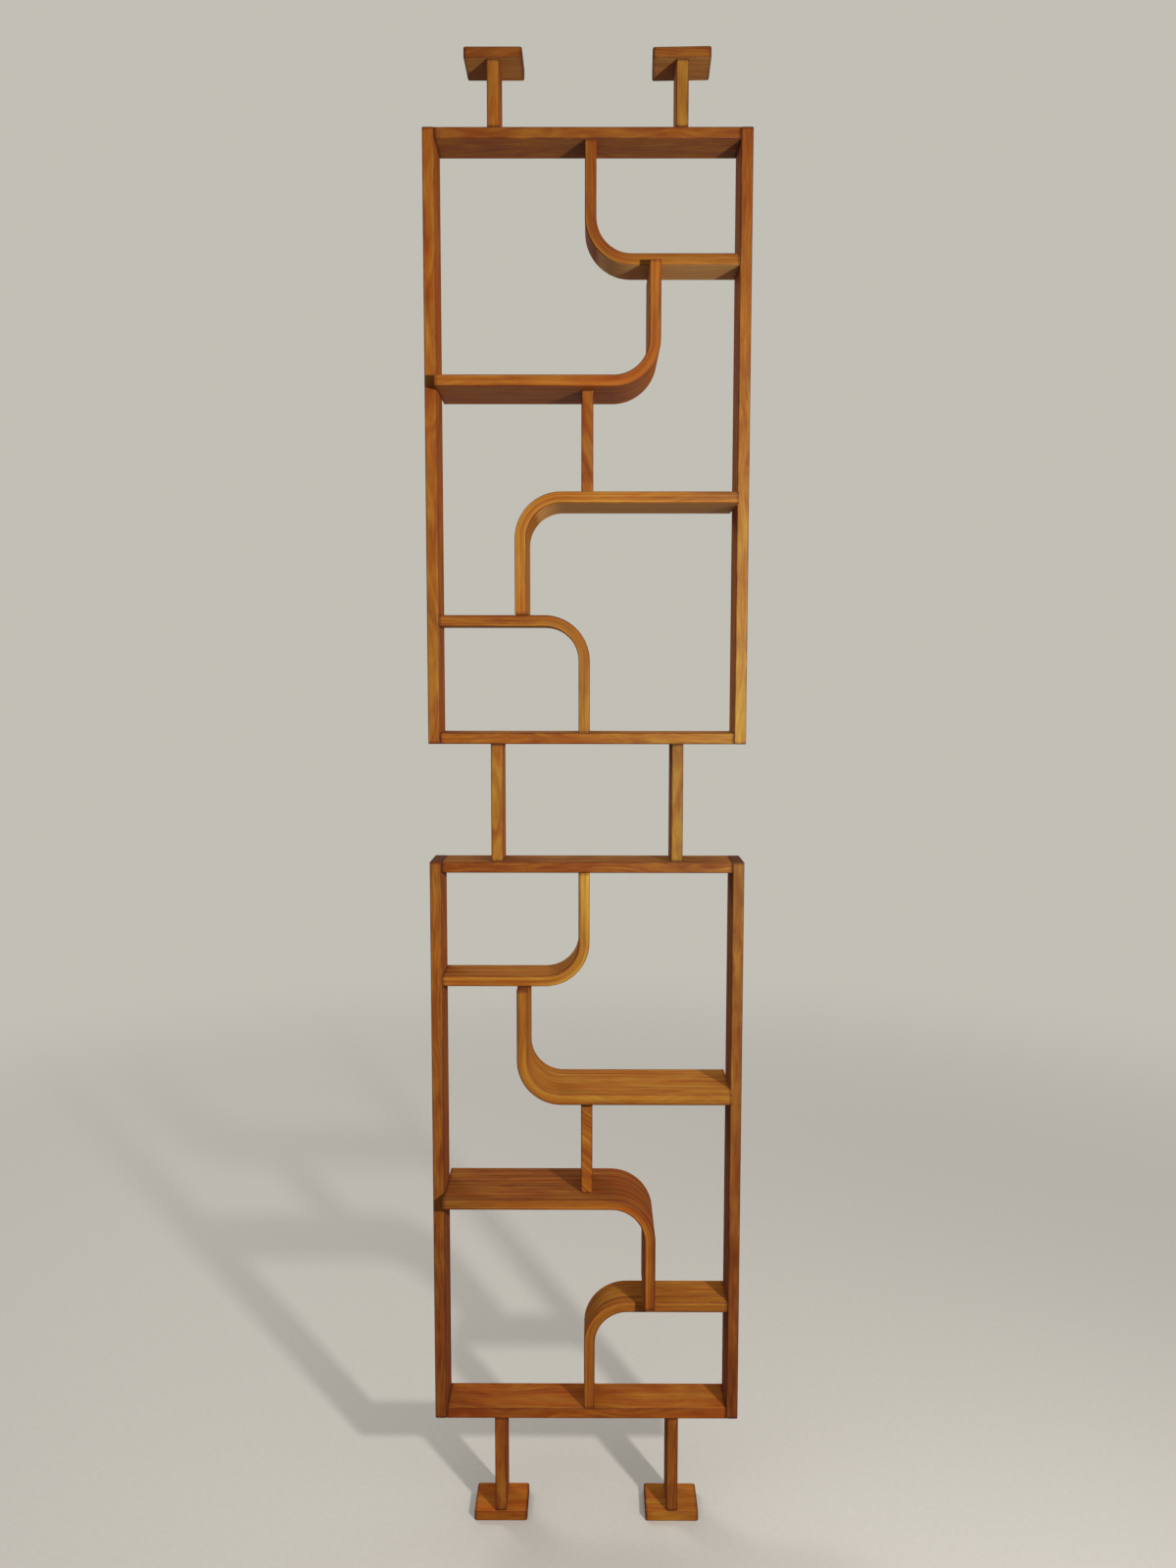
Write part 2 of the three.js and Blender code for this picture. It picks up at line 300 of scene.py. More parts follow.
lamp("key_lamp", place=(1.11, -1.88, 1.65), target=(0.0, 0.0, 1.3), size=0.14, power=50.0)
lamp("back_lamp", place=(-1.7, 1.9, 2.7), target=(0.0, 0.0, 1.2), size=0.9, power=22.0)
bpy.context.scene.view_settings.view_transform = "Standard"

# %% [markdown]
# ## The bent boards
# Each board is a stack of veneers, glued and pressed round a former, so its grain runs along the
# shelf, round the bend and up the leg. A curve with a fillet is the same idea: two straight lines
# and a corner, rounded to the radius of the former. Sweeping a rounded rectangle along it makes the
# board. First come the sizes that all boards share, in metres, and the rectangle. A narrow flat
# strip beside each of its round corners keeps the broad faces flat when they are shaded smooth.

# %% Sizes that the boards share
board_thickness = 0.019
half_board = board_thickness / 2
inside_bend = 0.058
arris = 0.002
arris_points = 4
strip = 0.0015
corner_points = arris_points + 3
bend_points = 30
path_step = 0.005
print("points round a section:", 4 * corner_points)


# %% The section of a board
def section_curve(tree, width, depth, radius):
    """A rectangle with round corners, made by moving the points of a circle."""
    ring = add(tree, "GeometryNodeCurvePrimitiveCircle", mode="RADIUS")
    ring.inputs["Resolution"].default_value = 4 * corner_points
    number = add(tree, "GeometryNodeInputIndex").outputs[0]
    corner = calc(tree, "FLOOR", calc(tree, "DIVIDE", number, corner_points))
    step = calc(tree, "SUBTRACT", number, calc(tree, "MULTIPLY", corner, corner_points))
    share = calc(tree, "DIVIDE", calc(tree, "SUBTRACT", step, 1.0), arris_points, clamp=True)
    angle = calc(tree, "MULTIPLY", calc(tree, "ADD", corner, share), math.pi / 2)
    middle = calc(tree, "MULTIPLY", calc(tree, "ADD", corner, 0.5), math.pi / 2)
    before = calc(tree, "LESS_THAN", step, 0.5)
    after = calc(tree, "GREATER_THAN", step, arris_points + 1.5)
    slide = calc(tree, "MULTIPLY", calc(tree, "SUBTRACT", after, before), strip)
    sine, cosine = calc(tree, "SINE", angle), calc(tree, "COSINE", angle)
    sides = []
    for size, quadrant, turn, drift in (
        (width, calc(tree, "COSINE", middle), cosine, calc(tree, "MULTIPLY", sine, -1.0)),
        (depth, calc(tree, "SINE", middle), sine, cosine),
    ):
        arm = calc(tree, "SUBTRACT", calc(tree, "MULTIPLY", size, 0.5), radius)
        centre = calc(tree, "MULTIPLY", arm, calc(tree, "SIGN", quadrant))
        round_part = calc(tree, "ADD", centre, calc(tree, "MULTIPLY", radius, turn))
        sides.append(calc(tree, "ADD", round_part, calc(tree, "MULTIPLY", slide, drift)))
    moved = add(tree, "GeometryNodeSetPosition")
    feed(tree, moved.inputs["Geometry"], ring.outputs[0])
    feed(tree, moved.inputs["Position"], merge(tree, sides[0], sides[1], 0.0))
    return moved.outputs[0]


print("sizes of a section in mm:", 1000 * board_thickness, "thick, arris", 1000 * arris)

# %% [markdown]
# ## The path of a bent board
# The path lies in the middle of the stack. It starts at the end of the shelf, turns where shelf and
# leg would cross, and ends at the end of the leg. The sizes are inputs of the tree, so every board
# of the divider comes from the same tree.

# %% The path of a board
board_tree, given, result = new_tree(
    "bent_board",
    "GeometryNodeTree",
    [
        ("Across", NUMBER, 0.25),
        ("Rise", NUMBER, 0.19),
        ("Depth", NUMBER, 0.08),
        ("Thickness", NUMBER, board_thickness),
        ("Inside Bend", NUMBER, inside_bend),
        ("Arris", NUMBER, arris),
        ("Figure Start", NUMBER, 0.0),
        ("Finish", "NodeSocketMaterial"),
    ],
    [("Board", "NodeSocketGeometry")],
)
tree = board_tree
three = add(tree, "GeometryNodePoints")
three.inputs["Count"].default_value = 3
number = add(tree, "GeometryNodeInputIndex").outputs[0]
at_start = calc(tree, "LESS_THAN", number, 0.5)
at_end = calc(tree, "GREATER_THAN", number, 1.5)
corner_path = merge(
    tree,
    calc(tree, "MULTIPLY", at_start, given["Across"]),
    calc(tree, "MULTIPLY", at_end, given["Rise"]),
    0.0,
)
feed(tree, three.inputs["Position"], corner_path)
polyline = add(tree, "GeometryNodePointsToCurves")
feed(tree, polyline.inputs["Points"], three.outputs[0])
feed(tree, polyline.inputs["Weight"], number)
rounded = add(tree, "GeometryNodeFilletCurve", mode="POLY")
feed(tree, rounded.inputs["Curve"], polyline.outputs[0])
rounded.inputs["Count"].default_value = bend_points
half_stack = calc(tree, "MULTIPLY", given["Thickness"], 0.5)
feed(tree, rounded.inputs["Radius"], calc(tree, "ADD", given["Inside Bend"], half_stack))
path = add(tree, "GeometryNodeResampleCurve", mode="LENGTH")
feed(tree, path.inputs["Curve"], rounded.outputs[0])
path.inputs["Length"].default_value = path_step
upright_normals = add(tree, "GeometryNodeSetCurveNormal", mode="Z_UP")
feed(tree, upright_normals.inputs["Curve"], path.outputs[0])
print("nodes of the path:", len(tree.nodes))

# %% [markdown]
# ## The sweep along the path
# The section is swept along the path. While it sweeps, the tree writes down for each point how far
# along the board, how far across its depth and how deep in the stack it lies. The finish reads
# these numbers, and so its grain follows the bend. The round arrises are shaded smooth, and only
# the sawn ends keep a crisp edge.

# %% The sweep of a board
crisp_angle = math.radians(50)


def captured(tree, geometry, label, value, kind):
    node = add(tree, "GeometryNodeCaptureAttribute", domain="POINT")
    node.capture_items.new(kind, label)
    feed(tree, node.inputs["Geometry"], geometry)
    feed(tree, node.inputs[label], value)
    return node.outputs["Geometry"], node.outputs[label]


def handed_over(tree, geometry, finish, socket):
    """Real geometry with its finish, as the result of the tree."""
    real = add(tree, "GeometryNodeRealizeInstances")
    feed(tree, real.inputs["Geometry"], geometry)
    dressed = add(tree, "GeometryNodeSetMaterial")
    feed(tree, dressed.inputs["Geometry"], real.outputs[0])
    feed(tree, dressed.inputs["Material"], finish)
    feed(tree, socket, dressed.outputs[0])


run_length = add(tree, "GeometryNodeSplineParameter").outputs["Length"]
along_curve, along = captured(tree, upright_normals.outputs[0], "Along", run_length, "FLOAT")
section, stack = captured(
    tree,
    section_curve(tree, given["Thickness"], given["Depth"], given["Arris"]),
    "Stack",
    add(tree, "GeometryNodeInputPosition").outputs[0],
    "VECTOR",
)
sweep = add(tree, "GeometryNodeCurveToMesh")
feed(tree, sweep.inputs["Curve"], along_curve)
feed(tree, sweep.inputs["Profile Curve"], section)
sweep.inputs["Fill Caps"].default_value = True
through, over, _ = split(tree, stack)
grain = merge(tree, calc(tree, "ADD", along, given["Figure Start"]), over, through)
noted = add(tree, "GeometryNodeStoreNamedAttribute", data_type="FLOAT_VECTOR", domain="POINT")
noted.inputs["Name"].default_value = "grain"
feed(tree, noted.inputs["Geometry"], sweep.outputs[0])
feed(tree, noted.inputs["Value"], grain)
smooth = add(tree, "GeometryNodeSetShadeSmooth", domain="FACE")
feed(tree, smooth.inputs["Geometry"], noted.outputs[0])
crisp = add(tree, "GeometryNodeSetShadeSmooth", domain="EDGE")
feed(tree, crisp.inputs["Geometry"], smooth.outputs[0])
fold = add(tree, "GeometryNodeInputMeshEdgeAngle").outputs["Unsigned Angle"]
feed(tree, crisp.inputs["Selection"], calc(tree, "GREATER_THAN", fold, crisp_angle))
crisp.inputs["Shade Smooth"].default_value = False
handed_over(tree, crisp.outputs[0], given["Finish"], result["Board"])
print("nodes in the board's tree:", len(tree.nodes))

# %% [markdown]
# ## From a tree to a plain mesh
# A modifier runs a tree on an empty seed. What it makes is kept as a plain mesh and the seed goes,
# so that each piece is an ordinary mesh that can be moved, joined to its body and exported.

# %% Run a tree and keep the plain mesh
def grown(name, tree, values):
    """The mesh that the tree makes with these values, as a new object at the origin."""
    seed_mesh = bpy.data.meshes.new(name + "_seed")
    seed = new_object(name + "_seed", seed_mesh)
    modifier = seed.modifiers.new("tree", "NODES")
    modifier.node_group = tree
    for item in tree.interface.items_tree:
        if item.in_out == "INPUT":
            modifier[item.identifier] = values[item.name]
    bpy.context.view_layer.update()
    graph = bpy.context.evaluated_depsgraph_get()
    mesh = bpy.data.meshes.new_from_object(seed.evaluated_get(graph), depsgraph=graph)
    bpy.data.objects.remove(seed)
    bpy.data.meshes.remove(seed_mesh)
    mesh.name = name
    return new_object(name, mesh)


board_inputs = [item.name for item in board_tree.interface.items_tree if item.in_out == "INPUT"]
print("values that a board needs:", board_inputs)

# %% [markdown]
# ## The finish: figure of the wood
# Beech is a plain wood, and its figure shows once it is stained. Growth rings are cylinders round
# the pith of the tree. A board is a slice of that, so the same solid pattern gives straight lines
# on one face and wide flames on the next. The group below measures the distance to the pith and
# lets it wander a little along the grain. Each ring rises slowly and fades fast, and good years and
# bad years make the rings uneven. Streaks, fine fibres, clouds of uneven stain and patches of blush
# are noises stretched along the grain, and they wander with the rings. The short dark flecks that
# beech is known by come last. All lengths are metres, with the first number along the grain.

# %% Group: figure of beech
figure_group, given, result = new_tree(
    "beech_figure",
    "ShaderNodeTree",
    [
        ("Grain", VECTOR),
        ("Pith", VECTOR, (0.0, 0.05, 0.03)),
        ("Ring Width", NUMBER, 0.0055),
        ("Wander", NUMBER, 0.045),
    ],
    [
        ("Rings", NUMBER),
        ("Streaks", NUMBER),
        ("Fibres", NUMBER),
        ("Clouds", NUMBER),
        ("Blush", NUMBER),
        ("Flecks", NUMBER),
    ],
)
year_scale, year_swing = 0.31, 2.4
rise_power, fade_from = 1.5, 0.6
fleck_start, fleck_full = 0.66, 0.76
tree = figure_group
drift = noise(tree, given["Grain"], (5.0, 14.0, 14.0), 1.5, output="Color")
sway = aim(tree, "SUBTRACT", drift, (0.5, 0.5, 0.5))
sway = aim(tree, "MULTIPLY", sway, merge(tree, 0.0, given["Wander"], given["Wander"]))
from_pith = aim(tree, "ADD", aim(tree, "SUBTRACT", given["Grain"], given["Pith"]), sway)
_, off_y, off_z = split(tree, from_pith)
radius = length(tree, merge(tree, 0.0, off_y, off_z))
age = calc(tree, "DIVIDE", radius, given["Ring Width"])
era = merge(tree, calc(tree, "MULTIPLY", age, year_scale), 0.0, 0.0)
season = calc(tree, "FRACT", nudge(tree, age, noise(tree, era, 1.0, 1.0), year_swing))
slow_rise = calc(tree, "POWER", season, rise_power)
fast_fade = ramp(tree, season, fade_from, 1.0, 1.0, 0.0)
feed(tree, result["Rings"], calc(tree, "MULTIPLY", slow_rise, fast_fade))
for label, stretch, detail, grit in (
    ("Streaks", (19.0, 170.0, 170.0), 3.0, 0.65),
    ("Fibres", (28.0, 1300.0, 1300.0), 2.0, 0.5),
    ("Clouds", (11.0, 55.0, 55.0), 2.5, 0.5),
    ("Blush", (8.0, 45.0, 45.0), 2.0, 0.5),
):
    feed(tree, result[label], noise(tree, from_pith, stretch, detail, grit))
fleck = noise(tree, given["Grain"], (240.0, 1500.0, 1500.0), 1.0)
feed(tree, result["Flecks"], ramp(tree, fleck, fleck_start, fleck_full))
print("figure group:", len(tree.nodes), "nodes")

# %% [markdown]
# ## The finish: edges
# Stain gathers on an eased edge, and the rounded arris turns away from the light, so every arris
# carries a thin darker line: partly stain, partly painted shade. Hands rub the edge, which leaves a
# few light spots. The distance to the nearest arris follows from the distances to the three pairs
# of faces: on a face one of them is nothing, and the next smallest is the way to the edge.

# %% Group: arris wear
arris_group, given, result = new_tree(
    "arris_stain_shade_and_wear",
    "ShaderNodeTree",
    [
        ("Place", VECTOR),
        ("Half Size", VECTOR, (0.01, 0.04, 0.5)),
        ("Line Width", NUMBER, 0.0022),
        ("Rub", NUMBER, 0.5),
    ],
    [("Line", NUMBER), ("Rubbed", NUMBER)],
)
line_core = 0.3
spot_start, spot_full = 0.56, 0.68
rub_full, rub_end = 0.0003, 0.0011
tree = arris_group
inward = aim(tree, "ABSOLUTE", given["Place"])
gap_x, gap_y, gap_z = split(tree, aim(tree, "SUBTRACT", given["Half Size"], inward))
lower = calc(tree, "MINIMUM", gap_x, gap_y)
upper = calc(tree, "MAXIMUM", gap_x, gap_y)
to_edge = calc(tree, "MAXIMUM", lower, calc(tree, "MINIMUM", upper, gap_z))
waver = noise(tree, given["Place"], 60.0, 2.0)
outer = calc(tree, "MULTIPLY", given["Line Width"], calc(tree, "ADD", waver, 0.5))
inner = calc(tree, "MULTIPLY", outer, line_core)
# The thin dark line along each arris: partly stain, partly painted shade.
feed(tree, result["Line"], ramp(tree, to_edge, inner, outer, 1.0, 0.0))
spots = ramp(tree, noise(tree, given["Place"], 23.0, 3.0), spot_start, spot_full)
sharp_edge = ramp(tree, to_edge, rub_full, rub_end, 1.0, 0.0)
rubbed_spots = calc(tree, "MULTIPLY", spots, sharp_edge)
feed(tree, result["Rubbed"], calc(tree, "MULTIPLY", given["Rub"], rubbed_spots))
print("arris group:", len(tree.nodes), "nodes")

# %% [markdown]
# ## The finish: stain
# The stain is orange brown. Where the wood took more of it the colour is a deep red brown, and
# where it took less the beech shows through as honey. So one number picks the colour from a ramp,
# and every pattern of the wood pushes that number up or down. End grain drinks stain and goes dark.
# A second number, the redness, tints the colour. The dark parts of the figure get more of it, so
# they stay warm. Each pattern of the figure swings round its usual value, so that a stronger
# contrast doesn't change the mean colour of a piece.

# %% Group: stained beech
stain_group, given, result = new_tree(
    "stained_beech",
    "ShaderNodeTree",
    [
        ("Rings", NUMBER),
        ("Streaks", NUMBER),
        ("Fibres", NUMBER),
        ("Clouds", NUMBER),
        ("Blush", NUMBER),
        ("Flecks", NUMBER),
        ("Tone", NUMBER, 0.5),
        ("Redness", NUMBER, 0.3),
        ("Line", NUMBER),
        ("Rubbed", NUMBER),
        ("End Grain", NUMBER),
        ("Contrast", NUMBER, 0.8),
    ],
    [("Colour", COLOUR), ("Roughness", NUMBER), ("Height", NUMBER)],
)
stain_shades = (
    (0.00, (0.105, 0.029, 0.008, 1)),
    (0.28, (0.235, 0.074, 0.012, 1)),
    (0.52, (0.380, 0.146, 0.017, 1)),
    (0.76, (0.500, 0.234, 0.032, 1)),
    (1.00, (0.640, 0.360, 0.075, 1)),
)
red_tint = (1.0, 0.62, 0.45, 1)
blush_redness, pattern_redness = 1.5, -2.4
least_roughness = 0.36
print("inputs of the stain group:", [socket.name for socket in given if socket.name])


# %% What pushes the stain up or down
tree = stain_group


def weighed(base, *weights):
    """The base, plus some inputs of the group, each times its weight."""
    for label, weight in weights:
        base = nudge(tree, base, given[label], weight)
    return base


pattern = 0.0
for label, usual, weight in (
    ("Clouds", 0.5, 0.58),
    ("Rings", 0.22, -0.22),
    ("Streaks", 0.5, 0.50),
    ("Fibres", 0.5, 0.16),
):
    pattern = nudge(tree, pattern, calc(tree, "SUBTRACT", given[label], usual), weight)
pattern = calc(tree, "MULTIPLY", pattern, given["Contrast"])
light = calc(tree, "ADD", given["Tone"], pattern)
# The arris line darkens the tone: partly stain, partly painted shade.
light = weighed(light, ("Flecks", -0.16), ("Line", -0.30), ("End Grain", -0.34), ("Rubbed", 0.30))
shades = add(tree, "ShaderNodeValToRGB")
stops = shades.color_ramp.elements
for position, _ in stain_shades[1:-1]:
    stops.new(position)
for stop, (position, shade) in zip(stops, stain_shades):
    stop.position, stop.color = position, shade
feed(tree, shades.inputs["Fac"], light)
patchy = calc(tree, "SUBTRACT", given["Blush"], 0.5)
redness = nudge(tree, given["Redness"], patchy, blush_redness)
redness = nudge(tree, redness, pattern, pattern_redness)
redness = calc(tree, "MAXIMUM", calc(tree, "MINIMUM", redness, 1.0), -1.0)
# The tint is unclamped, so a redness below zero turns the colour yellow; the finish uses that for a
# painted highlight.
tinting = {"blend_type": "MULTIPLY", "clamp_factor": False}
feed(tree, result["Colour"], mix(tree, redness, shades.outputs["Color"], red_tint, **tinting))
roughness = weighed(least_roughness, ("Clouds", 0.12), ("Fibres", 0.08), ("Line", 0.08))
feed(tree, result["Roughness"], roughness)
feed(tree, result["Height"], weighed(0.0, ("Fibres", 0.6), ("Streaks", 0.4), ("Flecks", -0.4)))
print("stain group:", len(tree.nodes), "nodes")

# %% [markdown]
# ## The finish: which way a face looks
# The front of a piece gets the most care, and tops and undersides take stain and varnish a little
# differently. The sides are painted darker, as shade, some undersides get a painted reflection and
# some fronts a painted highlight. This group turns the direction of a face into masks: 1 on the
# faces that look that way, 0 on the others, and a soft step between, which falls on the round edges
# and on the bends.

# %% Group: which way a face looks
facing_group, given, result = new_tree(
    "facing",
    "ShaderNodeTree",
    [("Normal", VECTOR)],
    [
        ("Front", NUMBER),
        ("Side", NUMBER),
        ("Top", NUMBER),
        ("Under", NUMBER),
        ("Off Front", NUMBER),
    ],
)
tree = facing_group
step_start, step_end = 0.6, 0.8
to_side, to_front, to_sky = split(tree, given["Normal"])
for label, slope in (
    ("Front", calc(tree, "MULTIPLY", to_front, -1.0)),
    ("Side", calc(tree, "ABSOLUTE", to_side)),
    ("Top", to_sky),
    ("Under", calc(tree, "MULTIPLY", to_sky, -1.0)),
):
    feed(tree, result[label], ramp(tree, slope, step_start, step_end))
front_or_back = calc(tree, "ABSOLUTE", to_front)
feed(tree, result["Off Front"], ramp(tree, front_or_back, step_start, step_end, 1.0, 0.0))
print("facing group:", len(tree.nodes), "nodes")

# %% [markdown]
# ## The finish: all together
# A varnished wood is these groups and one Principled shader. Tone and redness each have a value
# for both ends of a piece and run from one to the other. Both shift a little with the way a face
# looks, and the last few millimetres at an end are darker. A redness below zero turns the colour
# yellow, and only fronts show it: a painted highlight, mostly on the pieces at the right. Faces
# that look sideways or upwards are duller than the planed front, so they mirror less of the room.
# Six undersides are lighter or darker than the fronts, and redder or less red. Most of these are
# also mixed towards a pale shade, a painted reflection of the pale surroundings. The tables say how
# much lighter and redder they are, and how much reflection is painted.

# %% What the faces of a piece are like
undersides = {
    "upper_shelf_1": (0.50, -0.15),
    "upper_shelf_2": (-0.11, 0.03),
    "upper_shelf_3": (0.47, 0.10),
    "upper_top_rail": (0.01, -0.05),
    "left_ceiling_plate": (0.21, -0.25),
    "right_ceiling_plate": (0.18, -0.30),
}
# Undersides mixed towards a pale shade: a painted reflection of the pale surroundings.
painted_underside_reflection = {
    "upper_shelf_1": 0.16,
    "upper_shelf_3": 0.02,
    "upper_top_rail": 0.02,
    "left_ceiling_plate": 0.05,
    "right_ceiling_plate": 0.06,
}
reflected_surroundings_shade = (0.72, 0.55, 0.40, 1)
least_redness_off_front = 0.15
end_zone, end_darkening = (0.0015, 0.006), 0.22
matt_under, matt_elsewhere = 0.18, 0.45
relief_strength, relief_height = 0.25, 0.0004
mirror_level = 0.14
usual_contrast = 0.8
print("undersides with a look of their own:", ", ".join(undersides))


# %% A varnished wood from the groups
def placed(tree, group, values):
    """The outputs of a group that is placed in this tree and fed with these values."""
    node = add(tree, "ShaderNodeGroup", node_tree=group)
    for label, value in values.items():
        feed(tree, node.inputs[label], value)
    return node.outputs


def varnished(
    node, coordinates, half_size, stretch, pith, tone, redness, shifts,
    end_faces=(), contrast=usual_contrast, last_touch=None,
):
    """The finish of one piece. `coordinates` gives the place along the grain and the place in the
    piece. `stretch` is the part of the grain that the piece takes up, and `tone` and `redness`
    each hold a value for both of its ends. `shifts` says what a way of looking adds to them."""
    paint, tree, skin = new_paint(node + "_finish")
    run, place = coordinates(tree)
    figure = placed(tree, figure_group, {"Grain": run, "Pith": pith})
    edge_stain_shade_and_wear = placed(tree, arris_group, {"Place": place, "Half Size": half_size})
    looks = placed(tree, facing_group, {"Normal": coordinate(tree, "Normal")})

    along = split(tree, run)[0]
    share = ramp(tree, along, *stretch)
    tone_here, redness_here = (
        nudge(tree, start, share, end - start) for start, end in (tone, redness)
    )
    gone = calc(tree, "SUBTRACT", along, stretch[0])
    left = calc(tree, "SUBTRACT", stretch[1] - stretch[0], gone)
    near_end = ramp(tree, calc(tree, "MINIMUM", gone, left), *end_zone, 1.0, 0.0)
    tone_here = nudge(tree, tone_here, near_end, -end_darkening)
    # Only the front keeps a redness below zero, whose yellow is a painted highlight; other faces
    # keep at least a little red.
    warm = calc(tree, "MAXIMUM", redness_here, least_redness_off_front)
    painted_highlight_yellowing = calc(tree, "SUBTRACT", redness_here, warm)
    redness_here = nudge(tree, warm, painted_highlight_yellowing, looks["Front"])
    if node in undersides:
        shifts = {**shifts, "Under": undersides[node]}
    # The shifts by the way a face looks; on the sides of the timbers they are painted shade.
    for way, (lighter, redder) in shifts.items():
        tone_here = nudge(tree, tone_here, looks[way], lighter)
        redness_here = nudge(tree, redness_here, looks[way], redder)
    if last_touch:
        tone_here = last_touch(tree, run, tone_here)
    end_grain = 0.0
    for way in end_faces:
        end_grain = calc(tree, "ADD", end_grain, looks[way])

    stain = placed(tree, stain_group, {
        **dict(figure.items()),
        **dict(edge_stain_shade_and_wear.items()),
        "Tone": tone_here,
        "Redness": redness_here,
        "End Grain": end_grain,
        "Contrast": contrast,
    })
    colour = stain["Colour"]
    # Painted reflection: the underside is mixed towards a pale shade.
    if node in painted_underside_reflection:
        painted_reflection_here = calc(tree, "MULTIPLY", looks["Under"], painted_underside_reflection[node])
        colour = mix(tree, painted_reflection_here, colour, reflected_surroundings_shade)
    feed(tree, skin.inputs["Base Color"], colour)
    matt = nudge(tree, matt_elsewhere, looks["Under"], matt_under - matt_elsewhere)
    roughness = nudge(tree, stain["Roughness"], matt, looks["Off Front"])
    feed(tree, skin.inputs["Roughness"], roughness)
    relief = add(tree, "ShaderNodeBump")
    relief.inputs["Strength"].default_value = relief_strength
    relief.inputs["Distance"].default_value = relief_height
    feed(tree, relief.inputs["Height"], stain["Height"])
    feed(tree, skin.inputs["Normal"], relief.outputs["Normal"])
    skin.inputs["Specular IOR Level"].default_value = mirror_level
    return paint


groups = (figure_group, arris_group, facing_group, stain_group)
print("groups in a varnished wood:", ", ".join(group.name for group in groups))

# %% [markdown]
# ## Straight timbers
# Uprights, rails, struts, posts and plates are plain planed beech, and the measured solids already
# have their eased edges. They keep their shape and get the finish. The grain runs along each piece,
# so a Mapping node turns the pattern onto its long side, and each piece is cut from its own place
# in the tree. The table gives the way the grain runs, and then the tone and the redness at the low
# and at the high end. They were set by comparing renders with the picture. The struts were sawn
# aslant, so their figure crosses them. The tenons of a post are hidden, so its size is taken
# without them and its darker ends are where it comes out of the mortises.

# %% What the straight timbers are like
# A redness below zero is a painted highlight: it turns the front yellow where the lamp's sheen
# falls.
timbers = {
    "upper_top_rail": ("X", (0.35, 0.34), (0.36, 0.32)),
    "upper_bottom_rail": ("X", (0.38, 0.44), (0.53, -0.38)),
    "upper_left_upright": ("Z", (0.42, 0.50), (0.23, 0.62)),
    "upper_right_upright": ("Z", (0.50, 0.36), (-0.82, 0.37)),
    "upper_strut": ("Z", (0.39, 0.39), (0.29, 0.29)),
    "lower_top_rail": ("X", (0.29, 0.29), (0.38, 0.15)),
    "lower_bottom_rail": ("X", (0.32, 0.41), (1.00, 0.82)),
    "lower_left_upright": ("Z", (0.24, 0.37), (0.43, 0.18)),
    "lower_right_upright": ("Z", (0.21, 0.26), (0.46, -0.57)),
    "lower_strut": ("Z", (0.42, 0.42), (0.41, 0.41)),
    "left_foot_post": ("Z", (0.36, 0.36), (0.63, 0.63)),
    "right_foot_post": ("Z", (0.33, 0.33), (0.29, 0.29)),
    "left_middle_post": ("Z", (0.47, 0.47), (-0.27, -0.27)),
    "right_middle_post": ("Z", (0.36, 0.36), (-1.00, -1.00)),
    "left_ceiling_post": ("Z", (0.49, 0.49), (0.36, 0.36)),
    "right_ceiling_post": ("Z", (0.48, 0.48), (-0.45, -0.45)),
    "left_foot_plate": ("X", (0.44, 0.44), (0.82, 0.82)),
    "right_foot_plate": ("X", (0.53, 0.53), (0.38, 0.38)),
    "left_ceiling_plate": ("X", (0.29, 0.29), (0.40, 0.40)),
    "right_ceiling_plate": ("X", (0.33, 0.33), (0.30, 0.30)),
}
slants = {"upper_strut": 0.35, "lower_strut": 0.85}
contrasts = {"lower_strut": 1.15}
plate_turns = {"right_ceiling_plate": math.radians(-2)}
plate_half = Vector((0.0475, 0.04, 0.009))
# The sides are darker and redder than the front: painted shade, in place of the darker surroundings
# that they mirror.
painted_side_shade = (-0.05, 0.3)
rail_top = (0.05, -0.35)
plate_tops = {"left_foot_plate": (0.12, 0.0), "right_foot_plate": (-0.02, 0.0)}
tenon_reach = 0.012
between_timbers = 1.37
nearest_pith, pith_step = 0.024, 0.008
bearing_swing, bearing_step = 0.4, 2.4
quarter_turn = math.pi / 2
print("straight timbers:", len(timbers))


